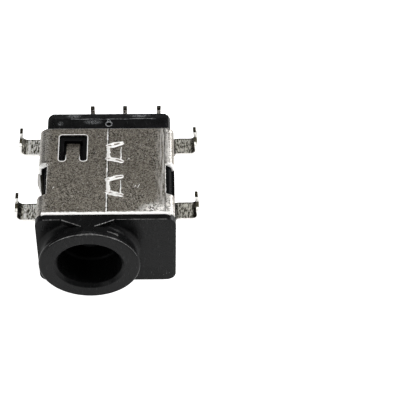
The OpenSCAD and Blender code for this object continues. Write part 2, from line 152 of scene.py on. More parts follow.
def facing_axes(tree):
    """The X, Y and Z of the way that the surface faces, by name."""
    return axes(tree, shader_node(tree, "NewGeometry").outputs["Normal"])


def remap(tree, value, low, high, to_low=0.0, to_high=1.0):
    """A value stretched from one range to another and held inside it."""
    return shader_node(tree, "MapRange", {"Value": value, "From Min": low, "From Max": high,
                                          "To Min": to_low, "To Max": to_high}).outputs["Result"]


def blend_colours(tree, mask, first, second):
    """The first colour where the mask is 0 and the second where it is 1."""
    mixer = shader_node(tree, "Mix", {"Factor": mask, 6: first, 7: second}, data_type="RGBA")
    return mixer.outputs[2]


def new_group(name, inputs, output):
    """An empty node group with named inputs and one mask out."""
    group = bpy.data.node_groups.new(name, "ShaderNodeTree")
    for label, kind, value in inputs:
        socket = group.interface.new_socket(label, in_out="INPUT", socket_type="NodeSocket" + kind)
        socket.default_value = value
    group.interface.new_socket(output, in_out="OUTPUT", socket_type="NodeSocketFloat")
    return group, group.nodes.new("NodeGroupInput").outputs, group.nodes.new("NodeGroupOutput").inputs


def grain_group():
    """Even mottling of a given size in mm, with its contrast about the middle."""
    group, given, out = new_group("grain", [("Position", "Vector", (0, 0, 0)), ("Size", "Float", 0.1),
                                            ("Contrast", "Float", 2)], "Mask")
    scale = combine(group, "DIVIDE", 1, given["Size"])
    noise = shader_node(group, "TexNoise", {"Vector": given["Position"], "Scale": scale, "Detail": 3,
                                            "Roughness": 0.62})
    centred = combine(group, "SUBTRACT", noise.outputs["Fac"], 0.5)
    strong = combine(group, "MULTIPLY", centred, given["Contrast"])
    group.links.new(remap(group, strong, -0.5, 0.5), out["Mask"])
    return group


def scratch_group():
    """Sparse hairlines in two directions: noise drawn out along a turned axis, and only its peaks kept."""
    group, given, out = new_group("hairlines", [("Position", "Vector", (0, 0, 0)), ("Width", "Float", 0.05),
                                                ("Length", "Float", 0.8), ("Level", "Float", 0.7)], "Mask")
    masks = []
    for turn, shift in ((0.6, 0), (-0.35, 40)):
        turned = shader_node(group, "VectorRotate", {"Vector": given["Position"], "Angle": turn},
                             rotation_type="Z_AXIS")
        scale = shader_node(group, "CombineXYZ", {"X": combine(group, "DIVIDE", 1, given["Width"]),
                                                  "Y": combine(group, "DIVIDE", 1, given["Length"]), "Z": 1})
        drawn = shader_node(group, "VectorMath", {0: turned.outputs[0], 1: scale.outputs[0]},
                            operation="MULTIPLY")
        moved = shader_node(group, "VectorMath", {0: drawn.outputs[0], 1: (shift, 0, 0)}, operation="ADD")
        noise = shader_node(group, "TexNoise", {"Vector": moved.outputs[0], "Scale": 1, "Detail": 1})
        above = combine(group, "SUBTRACT", noise.outputs["Fac"], given["Level"])
        masks.append(remap(group, above, 0, 0.05))
    group.links.new(combine(group, "MAXIMUM", *masks), out["Mask"])
    return group


def spot_group():
    """A soft oval spot: 1 at its centre, 0 at its radii."""
    group, given, out = new_group("spot", [("Position", "Vector", (0, 0, 0)), ("Centre", "Vector", (0, 0, 0)),
                                           ("Radii", "Vector", (1, 1, 1))], "Mask")
    away = shader_node(group, "VectorMath", {0: given["Position"], 1: given["Centre"]}, operation="SUBTRACT")
    shared = shader_node(group, "VectorMath", {0: away.outputs[0], 1: given["Radii"]}, operation="DIVIDE")
    length = shader_node(group, "VectorMath", {0: shared.outputs[0]}, operation="LENGTH").outputs["Value"]
    group.links.new(remap(group, length, 1, 0), out["Mask"])
    return group


GRAIN = grain_group()
HAIRLINES = scratch_group()
SPOT = spot_group()


def effect(tree, group, position, **inputs):
    """A shared effect placed in a material, as a mask at a position in mm."""
    placed = shader_node(tree, "Group", node_tree=group)
    tree.links.new(position, placed.inputs["Position"])
    for name, value in inputs.items():
        placed.inputs[name.capitalize()].default_value = value
    return placed.outputs["Mask"]


def new_material(name):
    """An empty node material, its Principled shader, and the place on the piece in mm."""
    material = bpy.data.materials.new(name)
    material.use_nodes = True
    tree = material.node_tree
    place = shader_node(tree, "TexCoord").outputs["Object"]
    scaled = shader_node(tree, "Mapping", {"Vector": place, "Scale": (1 / MM, 1 / MM, 1 / MM)})
    return material, tree, tree.nodes["Principled BSDF"], scaled.outputs[0]


def bump(tree, shader, height, depth):
    """Relief of the given depth in mm."""
    relief = shader_node(tree, "Bump", {"Height": height, "Distance": depth * MM, "Strength": 1})
    tree.links.new(relief.outputs[0], shader.inputs["Normal"])


def plastic():
    """Black moulded plastic: eroded grain, a slow drift of gloss, and dusty scuffs where the roof
    was handled. It is duller in the windows and in the gate mark, which little light reaches."""
    material, tree, shader, position = new_material("moulded_black_plastic")
    grain = effect(tree, GRAIN, position, size=0.09, contrast=2.2)
    drift = effect(tree, GRAIN, position, size=1.6, contrast=2.5)
    dust = effect(tree, GRAIN, position, size=0.11, contrast=14)
    lines = effect(tree, HAIRLINES, position, width=0.05, length=0.7, level=0.70)
    roof = TOP - 0.35
    scuffs = (((MIDDLE - 3.3, ROOF_END - 0.35, roof), (0.95, 0.4, 0.5)),
              ((MIDDLE + 3.2, ROOF_END - 0.35, roof), (1.2, 0.32, 0.5)),
              ((MIDDLE - 4.6, REAR + 1.0, roof), (0.35, 0.35, 0.4)),
              ((MIDDLE - 1.4, REAR + 1.2, roof), (1.1, 0.4, 0.4)))
    scuffed = either(tree, 0.0, *(effect(tree, SPOT, position, centre=centre, radii=radii)
                                  for centre, radii in scuffs))
    scuff = overlap(tree, remap(tree, scuffed, 0.05, 0.6), dust)
    marks = either(tree, overlap(tree, scuff, 0.42), overlap(tree, lines, 0.08))
    black = blend_colours(tree, drift, (0.0042, 0.0044, 0.0045, 1), (0.0070, 0.0072, 0.0074, 1))
    tree.links.new(blend_colours(tree, marks, black, (0.34, 0.35, 0.36, 1)), shader.inputs["Base Color"])
    gloss = combine(tree, "ADD", remap(tree, grain, 0, 1, 0.22, 0.34), remap(tree, drift, 0, 1, -0.03, 0.05))
    gloss = combine(tree, "ADD", gloss, overlap(tree, marks, 0.3))
    tree.links.new(gloss, shader.inputs["Roughness"])
    place = axes(tree, position)
    in_window = overlap(tree, remap(tree, distance(tree, place["X"], MIDDLE), 5.2, 5.4),
                        remap(tree, place["Y"], REAR, REAR - 0.1))
    behind_flange = remap(tree, place["Y"], FRONT + 0.5, FRONT + 0.6)
    gate_hole = effect(tree, SPOT, position, centre=(*GATE, TOP - 0.43), radii=(0.34, 0.34, 0.3))
    sheltered = either(tree, overlap(tree, in_window, behind_flange), remap(tree, gate_hole, 0.1, 0.3))
    tree.links.new(remap(tree, sheltered, 0, 1, 0.078, 0.01), shader.inputs["Specular IOR Level"])
    bump(tree, shader, grain, 0.004)
    return material


def finish(piece, material):
    """The piece's material, in place of any it had."""
    piece.data.materials.clear()
    piece.data.materials.append(material)


black_plastic = plastic()
finish(housing, black_plastic)


# ---- Moulding flash ----
# Thin ragged skin that the plastic left where the mould's halves met: along the roof's rear edge,
# round the gate mark and on the flange. It is stretched, so it is paler. The pale line across the
# roof, where its slope begins, is a painted highlight on that edge in the same pale plastic.

def smooth_noise(count, seed, knots):
    """Random heights from 0 to 1 at evenly spaced knots, joined by a cosine blend."""
    values = np.random.default_rng(seed).random(knots + 1)
    where = np.linspace(0, knots, count, endpoint=False)
    low = where.astype(int)
    share = (1 - np.cos(np.pi * (where - low))) / 2
    return values[low] * (1 - share) + values[low + 1] * share


def grid_piece(name, points, material):
    """A smooth surface through an array of points [along, across, xyz] in mm."""
    along, across, _ = points.shape
    number = np.arange(along * across).reshape(along, across)
    corners = [number[:-1, :-1], number[1:, :-1], number[1:, 1:], number[:-1, 1:]]
    faces = np.stack(corners, -1).reshape(-1, 4)
    mesh = bpy.data.meshes.new(name)
    mesh.from_pydata((points.reshape(-1, 3) * MM).tolist(), [], faces.tolist())
    mesh.polygons.foreach_set("use_smooth", np.ones(len(faces), dtype=bool))
    mesh.update()
    piece = bpy.data.objects.new(name, mesh)
    bpy.context.scene.collection.objects.link(piece)
    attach(piece, "root")
    finish(piece, material)
    return piece


def bead(path, half_width, height, side=(0, 0, 1)):
    """A half-round bead along a path: each point is the path's, moved across by the half width
    times the cosine and out by the height times the sine of an angle from 0 to 180 degrees.
    Out is one direction or one for each point. The two ends close on the path itself."""
    path = np.asarray(path, float)
    out = np.broadcast_to(np.asarray(side, float), path.shape)
    ahead = np.gradient(path, axis=0)
    across = np.cross(ahead, out)
    across /= np.linalg.norm(across, axis=1, keepdims=True)
    angle = np.linspace(0, np.pi, 9)
    half_width = np.broadcast_to(half_width, len(path)).copy()
    height = np.broadcast_to(height, len(path)).copy()
    half_width[[0, -1]] = 0.002
    height[[0, -1]] = 0.0
    wide = half_width[:, None, None] * np.cos(angle)[None, :, None] * across[:, None, :]
    tall = height[:, None, None] * np.sin(angle)[None, :, None] * out[:, None, :]
    return path[:, None, :] + wide + tall


def line(start, end, count):
    """Evenly spaced points from start to end."""
    return np.linspace(start, end, count)


def mark_painted_shade(piece, depth):
    """Writes how much painted shade each point of a piece gets, from 0 to 1, for its material to read."""
    layer = piece.data.attributes.new("shade_amount", "FLOAT", "POINT")
    layer.data.foreach_set("value", depth.reshape(-1).astype(np.float32))


def pale_plastic():
    """The same plastic stretched thin, so it is grey and matt; the painted highlight across the roof uses it
    too.
    """
    material, tree, shader, position = new_material("stretched_plastic")
    grain = effect(tree, GRAIN, position, size=0.12, contrast=5)
    tree.links.new(blend_colours(tree, grain, (0.06, 0.063, 0.066, 1), (0.30, 0.31, 0.315, 1)),
                   shader.inputs["Base Color"])
    shader.inputs["Roughness"].default_value = 0.45
    bump(tree, shader, grain, 0.01)
    return material


flash_skin = pale_plastic()


def flash_bead(name, *shape):
    """A pale bead on the housing: flash, or the painted highlight across the roof."""
    return grid_piece(name, bead(*shape), flash_skin)


ROOF_EDGE = TOP - 0.44
ROOF_FACE = TOP - 0.33
GATE_RADIUS = 0.3
FLANGE_FACE = 1.85
ridge_x = np.linspace(MIDDLE - 5.2, MIDDLE + 5.6, 160)
ragged = smooth_noise(160, 3, 42)
ridge = np.stack([ridge_x, np.full(160, ROOF_END - 0.04), np.full(160, ROOF_EDGE - 0.02)], 1)
flash_bead("roof_flash", ridge, 0.03 + 0.04 * ragged, 0.01 + 0.03 * ragged ** 2, (0, 0.9, 0.44))
gate_turn = np.linspace(0, 2 * np.pi, 33)
gate = np.array([*GATE, ROOF_FACE])
ring_path = gate + GATE_RADIUS * np.stack([np.cos(gate_turn), np.sin(gate_turn), 0 * gate_turn], 1)
flash_bead("gate_rim", ring_path, 0.05 + 0.03 * smooth_noise(33, 5, 9), 0.03)
apex = np.array([gate[0], REAR + 1.6, gate[2]])
for hand, angle in (("left", 2.6), ("right", 0.54)):
    start = gate + GATE_RADIUS * np.array([math.cos(angle), math.sin(angle), 0])
    flash_bead(f"gate_tail_{hand}", line(start, apex, 12), 0.03, 0.015)
# A pale bead where the roof's slope begins: a painted highlight on that edge.
line_height = ROOF_FACE - 0.005
roof_slope_highlight = line((MIDDLE - 3.6, REAR + 1.55, line_height), (MIDDLE + 4.8, REAR + 1.55, line_height), 120)
roof_slope_highlight[:, 1] += 0.08 * smooth_noise(120, 10, 8)
flash_bead("roof_slope_highlight", roof_slope_highlight, 0.008 + 0.03 * smooth_noise(120, 9, 30), 0.02)
for place, (across, up, length) in enumerate(((6.95, -3.85, 0.1), (7.2, -3.62, 0.14), (7.5, -3.55, 0.07))):
    nick = line((across, FLANGE_FACE, up), (across + length, FLANGE_FACE, up + 0.6 * length), 6)
    flash_bead(f"flange_nick_{place}", nick, 0.03, 0.015, (0, -1, 0))


# ---- Painted edge highlights ----
# Thin pale, shiny beads along the housing's edges: painted highlights for the light that the ring's
# outer rim, the gusset over the neck, the flange's top edge and the raised pad behind the ring catch.
# They are the same plastic, only paler and shinier.

def edge_highlight_material():
    """The black plastic, paler and shinier: the material of the painted edge highlights."""
    material, tree, shader, position = new_material("edge_highlight_plastic")
    grain = effect(tree, GRAIN, position, size=0.15, contrast=4)
    # Painted highlight: a grey far paler than the black plastic, with a strong shine.
    tree.links.new(blend_colours(tree, grain, (0.03, 0.03, 0.03, 1), (0.22, 0.22, 0.215, 1)),
                   shader.inputs["Base Color"])
    shader.inputs["Roughness"].default_value = 0.28
    shader.inputs["Specular IOR Level"].default_value = 0.9
    return material


edge_highlight_plastic = edge_highlight_material()


def edge_highlight_bead(name, *shape):
    """A painted highlight along an edge of the housing, as a pale shiny bead."""
    return grid_piece(name, bead(*shape), edge_highlight_plastic)


RING_RIM = 4.73
PAD_RADIUS = 4.665
PAD_MIDDLE = 0.72
GUSSET_FOOT = 2.46
GUSSET_CREST = 0.6
EDGE_HEIGHT = TOP + 0.08
sweep = np.linspace(math.radians(18), math.radians(140), 120)
outward_ring = np.stack([np.cos(sweep), 0 * sweep, np.sin(sweep)], 1)
rim = RING_RIM * outward_ring + np.array([0, 0.07, 0])
rim_out = 0.7071 * outward_ring + np.array([0, -0.7071, 0])
bright_part = np.exp(-((np.degrees(sweep) - 84) / 34) ** 2)
edge_highlight_bead("ring_rim", rim, 0.01 + 0.055 * bright_part * (0.5 + smooth_noise(120, 12, 26)), 0.02, rim_out)
for hand, side in (("left", -1), ("right", 1)):
    edge = line((side * GUSSET_FOOT, FLANGE_FACE - 0.02, EDGE_HEIGHT),
                (side * GUSSET_CREST, FLANGE_FACE - 0.8, EDGE_HEIGHT), 30)
    edge_highlight_bead(f"gusset_edge_{hand}", edge, 0.02 + 0.03 * smooth_noise(30, 14 + side, 8), 0.02,
                (0, -0.5, 0.87))
    flange_end = -4.2 if side < 0 else 7.4
    flange_edge = line((side * 2.6, FLANGE_FACE + 0.02, EDGE_HEIGHT - 0.02),
                       (flange_end, FLANGE_FACE + 0.02, EDGE_HEIGHT - 0.02), 60)
    edge_reach = 0.008 + 0.02 * smooth_noise(60, 17 + side, 12)
    edge_highlight_bead(f"flange_edge_{hand}", flange_edge, edge_reach, 0.012, (0, -0.7, 0.7))
pad_turn = np.linspace(math.radians(53), math.radians(68), 40)
pad_out = np.stack([np.cos(pad_turn), 0 * pad_turn, np.sin(pad_turn)], 1)
pad_path = PAD_RADIUS * pad_out + np.array([0, PAD_MIDDLE, 0])
pad_reach = np.linspace(0.17, 0.04, 40) * (0.6 + 0.5 * smooth_noise(40, 19, 9))
edge_highlight_bead("pad_highlight", pad_path, pad_reach, 0.02, pad_out)


# ---- Shield ----
# Folded and locked from one nickel-plated sheet 0.3 mm thick. The mill rolls give its faces
# a mottled satin finish, and the punch leaves its cut edges bright.

SHIELD_EDGE = 0.05
SHEET = 0.3
LOCKS = (FRONT + 3.45, FRONT + 7.7)
LEG_REARS = (FRONT + 4.9, REAR + 2.5)
LEG_LENGTH = 2.05


def mark_cut_faces(shape):
    """Material 1 for each flat face of a sheet-metal shape with clearly more than a sheet's
    thickness of metal behind it: those are the faces that the punch cut."""
    tree = BVHTree.FromBMesh(shape)
    for face in shape.faces:
        inside = face.calc_center_median() - face.normal * 0.01
        hit = tree.ray_cast(inside, -face.normal, 50)
        bent = abs(face.normal.y) < 0.02 and min(abs(face.normal.x), abs(face.normal.z)) > 0.05
        face.material_index = 0 if bent or (hit[3] is not None and hit[3] < SHEET * 1.6) else 1
    return shape


shield = rounded_copy(mark_cut_faces(merged_shape("shield")), "shield_sheet", "shield", SHIELD_EDGE, 40)


def window_shade(tree, place, from_middle):
    """A mask for painted shade on the metal low in the windows, where shadow falls."""
    along = overlap(tree, remap(tree, place["Y"], FRONT + 2.3, FRONT + 2.4),
                    remap(tree, place["Y"], FRONT + 6.4, FRONT + 6.3))
    across = overlap(tree, remap(tree, from_middle, 5.9, 6.0), remap(tree, from_middle, 6.62, 6.55))
    low = overlap(tree, remap(tree, place["Z"], TOP - 0.95, TOP - 1.05), remap(tree, place["Z"], -0.8, -0.7))
    return overlap(tree, along, across, low)


def dark_line_mask(tree, place, outward, coarse):
    """Dark lines in the sheet: painted shade along each side of the right-hand bend, and the seam between its
    locks.
    """
    dark_lines = either(tree, 0.0, *(remap(tree, distance(tree, outward, line_at), half_width, half_width * 0.3)
                                  for line_at, half_width in ((5.58, 0.09), (6.31, 0.06))))
    seam = remap(tree, distance(tree, outward, 0.17), 0.06, 0.03)
    for lock in LOCKS:
        seam = overlap(tree, seam, remap(tree, distance(tree, place["Y"], lock), 0.75, 0.85))
    return either(tree, overlap(tree, dark_lines, remap(tree, coarse, 0, 0.8, 0.35, 0.9)), seam)


def leg_colour(tree, position, place, facing, outward, coarse):
    """The legs' metal: ruled across by the press, with painted light over it: painted highlights on the cut
    ends, on the left legs' flat parts and in their bends, and painted shade along the rear edge and on the
    tips."""
    from_middle = distance(tree, place["X"], MIDDLE)
    on_left = remap(tree, outward, 0, -1)
    across_legs = shader_node(tree, "Mapping", {"Vector": position, "Scale": (1, 0.25, 1)})
    ruled = effect(tree, GRAIN, across_legs.outputs[0], size=0.13, contrast=9)
    colour = blend_colours(tree, ruled, (0.07, 0.065, 0.048, 1), (0.66, 0.64, 0.57, 1))
    # Painted highlight on the left legs' flat parts.
    left_leg_highlight = overlap(tree, remap(tree, outward, -7.75, -7.6), remap(tree, ruled, 0.45, 0.62, 0, 0.85), on_left)
    colour = blend_colours(tree, left_leg_highlight, colour, (0.85, 0.84, 0.80, 1))
    # Painted highlight in the left legs' bends.
    left_leg_bend_highlight = overlap(tree, remap(tree, from_middle, 7.72, 7.86), remap(tree, from_middle, 8.1, 8.04))
    left_leg_bend_highlight = overlap(tree, left_leg_bend_highlight, on_left, remap(tree, coarse, 0.2, 0.5, 0.3, 1))
    # Painted highlight on the cut ends, which face front or back.
    endways_highlight = remap(tree, distance(tree, facing["Y"]), 0.25, 0.45)
    # Painted shade along each leg's rear edge.
    rear_edge_shade = 0.0
    front_edge = 0.0
    for leg_rear in LEG_REARS:
        ahead = combine(tree, "SUBTRACT", place["Y"], leg_rear - LEG_LENGTH)
        near = overlap(tree, remap(tree, ahead, 0.38, 0.3), remap(tree, ahead, -0.2, -0.1))
        front_edge = either(tree, front_edge, near)
        off = distance(tree, place["Y"], leg_rear - 0.09)
        rear_edge_shade = either(tree, rear_edge_shade, remap(tree, off, 0.11, 0.06))
    colour = blend_colours(tree, overlap(tree, rear_edge_shade, 0.8), colour, (0.03, 0.028, 0.02, 1))
    colour = blend_colours(tree, either(tree, left_leg_bend_highlight, endways_highlight), colour, (0.9, 0.89, 0.86, 1))
    # Painted shade on the tips' upward faces, kept off near each leg's front end.
    tip_shade = overlap(tree, remap(tree, facing["Z"], 0.3, 0.45), remap(tree, place["Z"], 1.25, 1.35))
    tip_shade = overlap(tree, tip_shade, combine(tree, "SUBTRACT", 1, front_edge))
    return blend_colours(tree, tip_shade, colour, (0.035, 0.032, 0.022, 1))


def plated_sheet():
    """Satin nickel: fine mottling from the rolls, warm tarnish, hairlines, and lighter blotches at the front
    edge and right front corner. Painted highlights lighten both bends, with streaks along the right-hand
    one; painted shade darkens lines beside that bend, the legs' inner faces near their roots and the
    metal low in the windows."""
    material, tree, shader, position = new_material("nickel_plated_sheet")
    shader.inputs["Metallic"].default_value = 1
    mottle = effect(tree, GRAIN, position, size=0.12, contrast=10)
    coarse = effect(tree, GRAIN, position, size=0.25, contrast=4.5)
    drift = effect(tree, GRAIN, position, size=2.6, contrast=3)
    drawn = shader_node(tree, "Mapping", {"Vector": position, "Scale": (1, 0.06, 0.06)})
    streaks = effect(tree, GRAIN, drawn.outputs[0], size=0.14, contrast=6)
    lines = effect(tree, HAIRLINES, position, width=0.045, length=0.5, level=0.72)
    place = axes(tree, position)
    facing = facing_axes(tree)
    from_middle = distance(tree, place["X"], MIDDLE)
    outward = combine(tree, "SUBTRACT", place["X"], MIDDLE)
    speckle = combine(tree, "ADD", overlap(tree, mottle, 0.7), overlap(tree, coarse, 0.3))
    base = blend_colours(tree, speckle, (0.022, 0.0195, 0.0145, 1), (0.37, 0.342, 0.292, 1))
    tarnish = blend_colours(tree, overlap(tree, drift, 0.5), base, (0.18, 0.16, 0.13, 1))

    # Lighter blotches at the right front corner and along the front edge, and a painted highlight on the
    # right-hand bend.
    corner = effect(tree, SPOT, position, centre=(MIDDLE + 5.4, FRONT + 0.5, TOP), radii=(2.6, 1.1, 1))
    along_front = effect(tree, SPOT, position, centre=(MIDDLE + 3.2, FRONT, TOP), radii=(4.5, 0.42, 0.5))
    right_bend = overlap(tree, remap(tree, outward, 5.62, 5.72), remap(tree, outward, 6.3, 6.22))
    blotches_and_bend_highlight = either(tree, remap(tree, either(tree, corner, along_front), 0, 0.5),
                  overlap(tree, right_bend, remap(tree, mottle, 0.42, 0.6), 0.85))
    blotches = either(tree, remap(tree, speckle, 0.25, 0.65, 0, 0.6), remap(tree, coarse, 0.5, 0.62))
    # Streaks along the right-hand bend as part of its painted highlight, and a painted highlight on the
    # left-hand bend.
    at_bends = overlap(tree, remap(tree, from_middle, 4.6, 5.6), remap(tree, from_middle, 6.6, 6.1))
    streaks_and_bend_highlight = overlap(tree, at_bends, streaks, remap(tree, outward, 0, 1))
    left_bend_highlight = overlap(tree, remap(tree, outward, -5.3, -6.2, 0, 0.42), remap(tree, mottle, 0, 1, 0.25, 1),
                        remap(tree, place["Z"], TOP - 1.1, TOP - 0.6))
    bright = either(tree, overlap(tree, streaks_and_bend_highlight, 0.7), overlap(tree, lines, 0.6),
                    overlap(tree, blotches_and_bend_highlight, blotches), left_bend_highlight)
    on_legs = remap(tree, from_middle, 6.55, 6.7)
    bright = overlap(tree, bright, remap(tree, on_legs, 0, 1, 1, 0))
    colour = blend_colours(tree, bright, tarnish, (0.95, 0.93, 0.90, 1))
    colour = blend_colours(tree, on_legs, colour, leg_colour(tree, position, place, facing, outward, coarse))
    # Painted shade beside the right-hand bend, with the dark seam.
    dark_lines = dark_line_mask(tree, place, outward, coarse)
    colour = blend_colours(tree, overlap(tree, dark_lines, 0.85), colour, (0.02, 0.018, 0.014, 1))

    # Painted shade on the legs' inner faces near their roots, and on the metal low in the windows.
    side = combine(tree, "SIGN", combine(tree, "SUBTRACT", place["X"], MIDDLE), 0)
    inward = overlap(tree, facing["X"], side, -1)
    shade_amount = overlap(tree, remap(tree, inward, 0.12, 0.4), remap(tree, from_middle, 7.98, 8.1),
                     remap(tree, place["Z"], 1.35, 0.95))
    leg_inner_shade = overlap(tree, shade_amount, remap(tree, coarse, 0, 0.7, 0.6, 1))
    dark = either(tree, leg_inner_shade, overlap(tree, window_shade(tree, place, from_middle), 0.95))
    tree.links.new(blend_colours(tree, dark, colour, (0.03, 0.027, 0.02, 1)), shader.inputs["Base Color"])
    gloss = combine(tree, "ADD", remap(tree, coarse, 0, 1, 0.34, 0.5), overlap(tree, bright, 0.12))
    tree.links.new(gloss, shader.inputs["Roughness"])
    bump(tree, shader, speckle, 0.008)
    return material


def cut_edge():
    """The sheet's punched edge: bright burnished metal, with the broken lower third browner, and painted
    shade where it faces up on the legs, back at the rear corners, or into a window."""
    material, tree, shader, position = new_material("punched_sheet_edge")
    shader.inputs["Metallic"].default_value = 1
    grain = effect(tree, GRAIN, position, size=0.1, contrast=3)
    place = axes(tree, position)
    facing = facing_axes(tree)
    from_middle = distance(tree, place["X"], MIDDLE)
    base = blend_colours(tree, grain, (0.70, 0.685, 0.65, 1), (0.88, 0.87, 0.84, 1))
    # Painted shade on the edges that face up on the legs, kept off near the legs' front ends.
    upward_shade = overlap(tree, remap(tree, facing["Z"], 0.4, 0.75), remap(tree, grain, 0, 1, 1, 0.7))
    for leg_rear in LEG_REARS:
        off = distance(tree, place["Y"], leg_rear - LEG_LENGTH + 0.1)
        upward_shade = overlap(tree, upward_shade, remap(tree, off, 0.2, 0.28))
    base = blend_colours(tree, upward_shade, base, (0.04, 0.036, 0.026, 1))
    # Painted shade on the edges that face back at the rear corners, and in the windows.
    rearward = overlap(tree, remap(tree, facing["Y"], 0.5, 0.7),
                       remap(tree, place["Y"], REAR - 1, REAR - 1.2))
    beside = overlap(tree, remap(tree, from_middle, 5.4, 5.5), remap(tree, from_middle, 6.62, 6.55))
    shaded = either(tree, overlap(tree, rearward, beside, 0.85),
                    window_shade(tree, place, from_middle))
    base = blend_colours(tree, shaded, base, (0.04, 0.04, 0.028, 1))
    under = overlap(tree, remap(tree, place["Z"], TOP - 0.2, TOP - 0.27),
                    remap(tree, place["Z"], TOP - 0.4, TOP - 0.3), 0.7)
    browned = blend_colours(tree, under, base, (0.30, 0.16, 0.08, 1))
    gold = effect(tree, SPOT, position, centre=(MIDDLE + 2.6, REAR, shield_low[2]), radii=(0.75, 0.5, 0.5))
    tree.links.new(blend_colours(tree, remap(tree, gold, 0.1, 0.3), browned, (0.80, 0.52, 0.15, 1)),
                   shader.inputs["Base Color"])
    tree.links.new(remap(tree, grain, 0, 1, 0.22, 0.34), shader.inputs["Roughness"])
    bump(tree, shader, grain, 0.004)
    return material


sheet_face = plated_sheet()
sheet_edge = cut_edge()
finish(shield, sheet_face)
shield.data.materials.append(sheet_edge)


# ---- Staking marks and burrs ----
# The two dovetail locks are staked: a punch squeezed the metal over the seam on each slanted
# side, which raised two bright lips with a groove between. Fine bright burrs and lips stand
# along the seam and the punched edges, and a few scratches lie on the top.

SEAM = MIDDLE + 0.14
LOCK_REACH = 1.25


def burnished():
    """Metal squeezed bright by the staking punch, with painted shade where a piece asks for it: down in the
    staked grooves and along one side of a burr.
    """
    material, tree, shader, position = new_material("burnished_metal")
    shader.inputs["Metallic"].default_value = 0.55
    grain = effect(tree, GRAIN, position, size=0.12, contrast=4)
    shade_amount = shader_node(tree, "Attribute", attribute_name="shade_amount").outputs["Fac"]
    base = blend_colours(tree, grain, (0.88, 0.87, 0.84, 1), (1.0, 0.99, 0.97, 1))
    tree.links.new(blend_colours(tree, shade_amount, base, (0.16, 0.12, 0.09, 1)), shader.inputs["Base Color"])
    tree.links.new(remap(tree, grain, 0, 1, 0.42, 0.6), shader.inputs["Roughness"])
    bump(tree, shader, grain, 0.01)
    return material


bright_metal = burnished()


def metal_bead(name, *shape):
    """A burr or lip of bright metal on the sheet."""
    return grid_piece(name, bead(*shape), bright_metal)


def staked_stroke(name, start, end, seed):
    """A staked groove from start to end on the sheet's top. Across it, the surface rises as two lips:
    height is the lip height times the square of the sine of 180 degrees times the share of
    the way from the middle to the side. The width swells from the ends to the middle by the
    square root of a sine."""
    count, sides = 28, 21
    along = np.linspace(0, 1, count)[:, None]
    across = np.linspace(-1, 1, sides)[None, :]
    path = np.array(start)[None, :] * (1 - along) + np.array(end)[None, :] * along
    wander = np.stack([smooth_noise(count, seed + 90, 6), smooth_noise(count, seed + 91, 6)], 1)
    path = path + 0.05 * (wander - 0.5)
    ahead = np.array(end, float) - np.array(start, float)
    ahead /= np.linalg.norm(ahead)
    side = np.array([-ahead[1], ahead[0]])
    ragged = smooth_noise(count, seed, 7)[:, None]
    half = 0.12 + 0.16 * np.sqrt(np.sin(np.pi * np.clip(along, 0.001, 0.999))) * (0.6 + 0.8 * ragged)
    lips = np.sin(np.pi * np.abs(across)) ** 2 * (0.6 + 0.8 * smooth_noise(count, seed + 50, 9)[:, None])
    points = np.empty((count, sides, 3))
    points[:, :, :2] = path[:, None, :] + (half * across)[:, :, None] * side
    points[:, :, 2] = TOP + 0.004 + 0.05 * lips * np.sin(np.pi * np.clip(along, 0.02, 0.98)) ** 0.4
    piece = grid_piece(name, points, bright_metal)
    # Painted shade down the middle of the groove, in patches.
    patchy = np.clip(3.5 * smooth_noise(count, seed + 7, 8)[:, None] - 1, 0, 1)
    mark_painted_shade(piece, np.clip(1.5 - np.abs(across) * 3.2, 0, 1) * patchy)


for place, middle in enumerate(LOCKS):
    for turn in (-1, 1):
        staked_stroke(f"lock_{place}_stroke_{'front' if turn < 0 else 'rear'}",
                      (SEAM - 0.22, middle + turn * 0.72), (SEAM + LOCK_REACH + 0.24, middle + turn * 1.22),
                      11 + 2 * place + turn)
    tip_path = line((SEAM + LOCK_REACH - 0.04, middle - 1.0, TOP),
                    (SEAM + LOCK_REACH - 0.02, middle + 0.7, TOP), 40)
    tip_path[:, 0] += 0.04 * smooth_noise(40, 30 + place, 9)
    metal_bead(f"lock_{place}_tip_burr", tip_path, np.linspace(0.075, 0.03, 40), 0.03)
    root_path = line((SEAM + 0.04, middle - 0.8, TOP), (SEAM + 0.02, middle + 0.8, TOP), 60)
    root_path[:, 0] += 0.08 * smooth_noise(60, 70 + place, 12)
    metal_bead(f"lock_{place}_root_burr", root_path, 0.08 + 0.11 * smooth_noise(60, 75 + place, 14), 0.035)
seam_path = line((SEAM - 0.09, FRONT + 0.05, TOP), (SEAM - 0.09, REAR - 0.05, TOP), 220)
seam_path[:, 0] += 0.03 * smooth_noise(220, 41, 60)
metal_bead("seam_burr", seam_path, 0.02 + 0.07 * smooth_noise(220, 42, 60) ** 1.3, 0.03)
lip_path = line((MIDDLE - 6, FRONT - 0.03, TOP + 0.02), (MIDDLE + 6.1, FRONT - 0.03, TOP + 0.02), 240)
metal_bead("front_lip", lip_path, 0.19 + 0.08 * smooth_noise(240, 51, 80), 0.1, (0, -0.5, 0.87))
back_path = line((MIDDLE - 6, REAR - 0.01, TOP - 0.11), (MIDDLE + 6, REAR - 0.01, TOP - 0.11), 240)
metal_bead("rear_lip", back_path, 0.1 + 0.02 * smooth_noise(240, 61, 60), 0.04, (0, 1, 0))


def round_corners(corners, radius):
    """A path through corner points, each corner but the first and last turned by a round: its points
    are the quadratic blend of the two tangent points through the corner."""
    corners = [np.array(corner, float) for corner in corners]
    path = [corners[0]]
    share = np.linspace(0, 1, 8)[:, None]
    for before, corner, after in zip(corners, corners[1:], corners[2:]):
        enter = corner + radius * (before - corner) / np.linalg.norm(before - corner)
        leave = corner + radius * (after - corner) / np.linalg.norm(after - corner)
        path.extend((1 - share) ** 2 * enter + 2 * share * (1 - share) * corner + share ** 2 * leave)
    path.append(corners[-1])
    return np.array(path)


